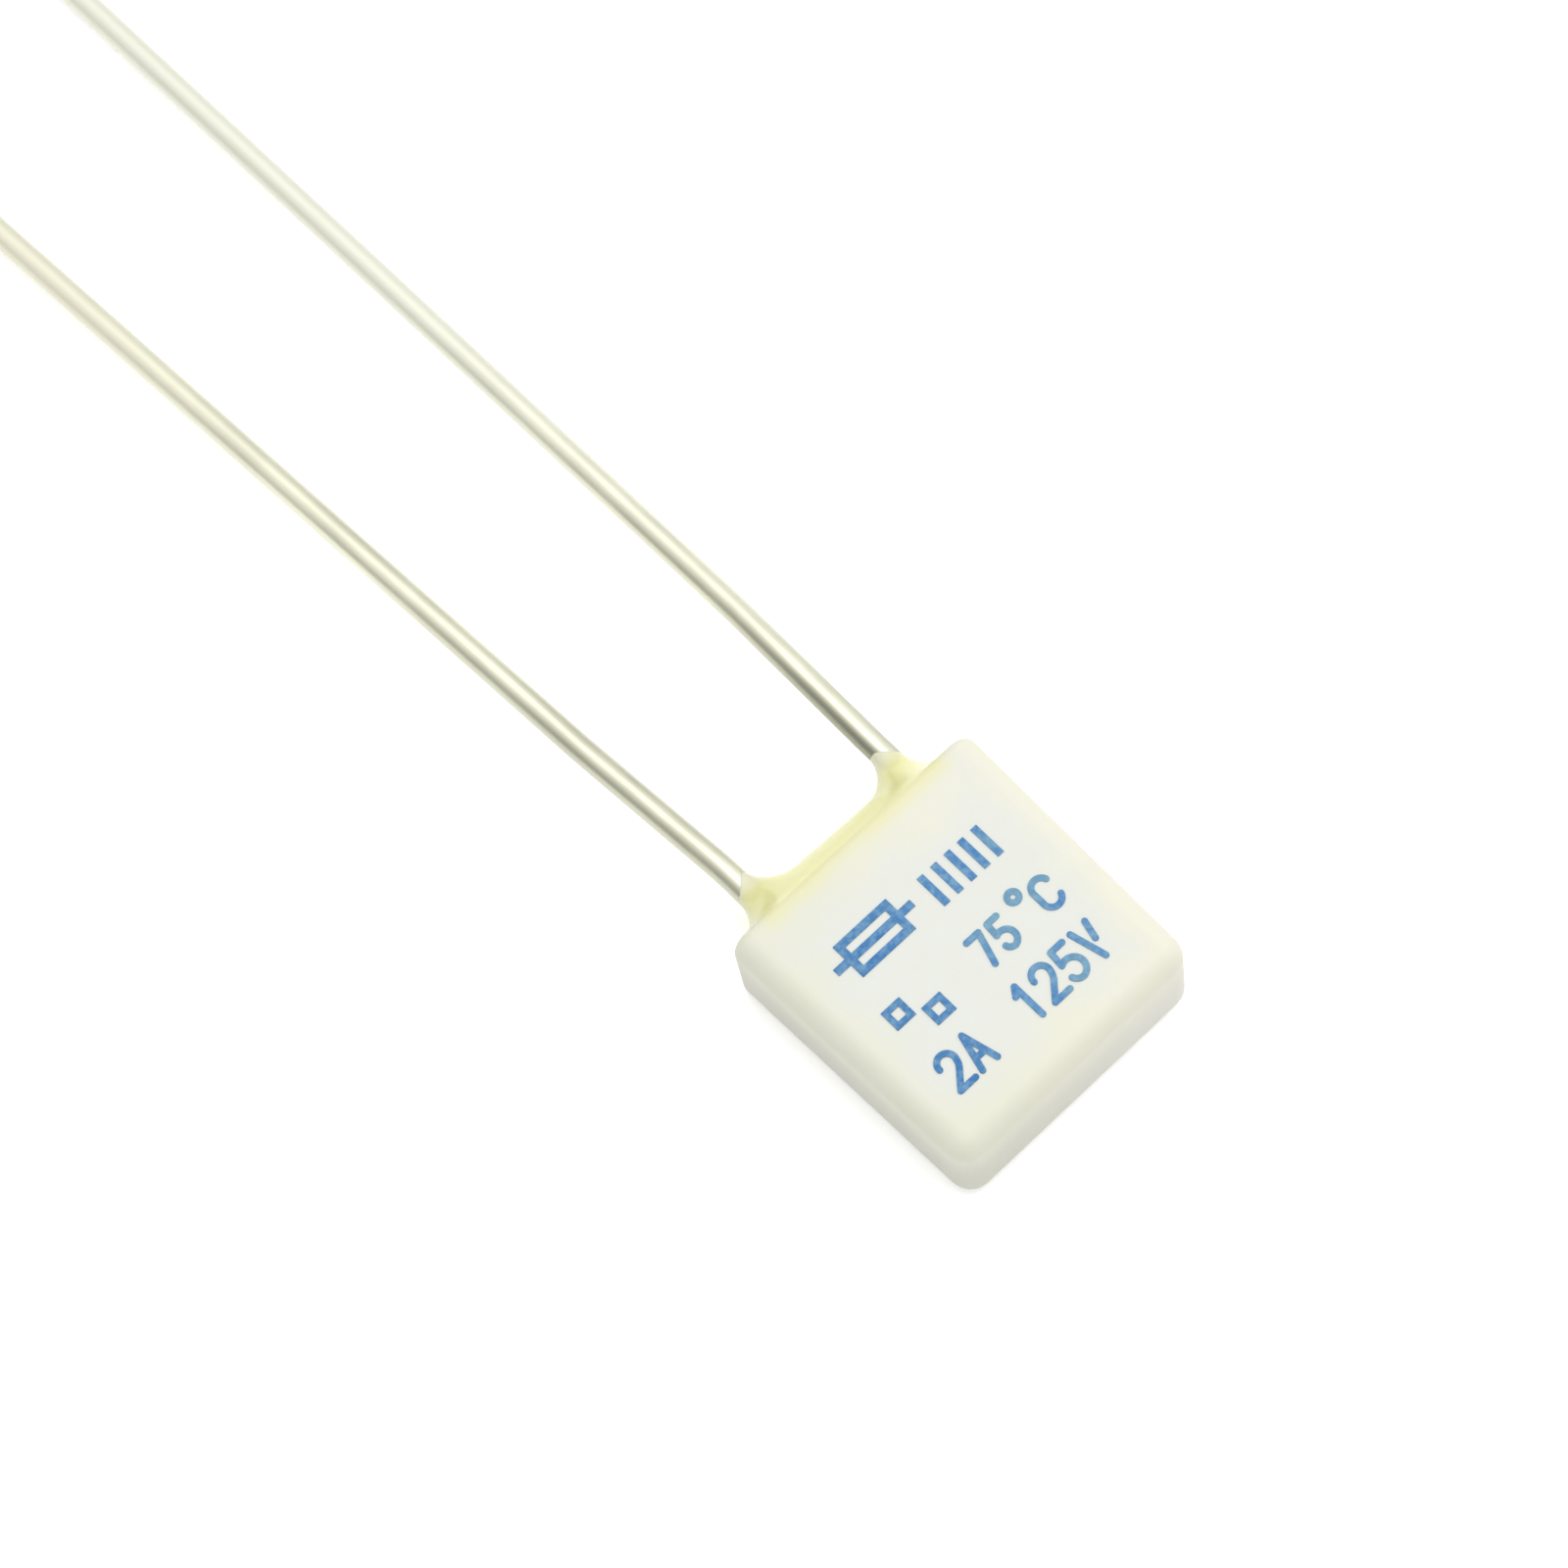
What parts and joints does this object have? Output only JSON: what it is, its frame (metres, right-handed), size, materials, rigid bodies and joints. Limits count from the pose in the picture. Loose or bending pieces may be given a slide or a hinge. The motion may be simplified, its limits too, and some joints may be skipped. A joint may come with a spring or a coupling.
{
  "type": "thermal fuse",
  "caption": "One-shot thermal fuse in a flat square cream ceramic case, closed with yellow resin, with a pair of long round tinned leads on a 5 mm pitch.",
  "frame": {"origin": "centre of the case's flat back face", "axes": "+Y from the case out along the leads, +Z from the back face towards the printed face, +X to the right seen from the printed face with the leads up"},
  "size_m": [0.0084, 0.0462, 0.0032],
  "materials": {
    "ceramic": "matte",
    "epoxy": "satin",
    "tinned_wire": "satin",
    "alloy": "matte",
    "rosin": "gloss",
    "ink": "matte"
  },
  "bodies": {
    "root": {"ceramic_case": "ceramic", "epoxy_seal": "epoxy", "lead_right": "tinned_wire", "lead_left": "tinned_wire", "fusible_link": "alloy", "flux_fill": "rosin", "printed_marking": "ink"}
  },
  "joints": []
}
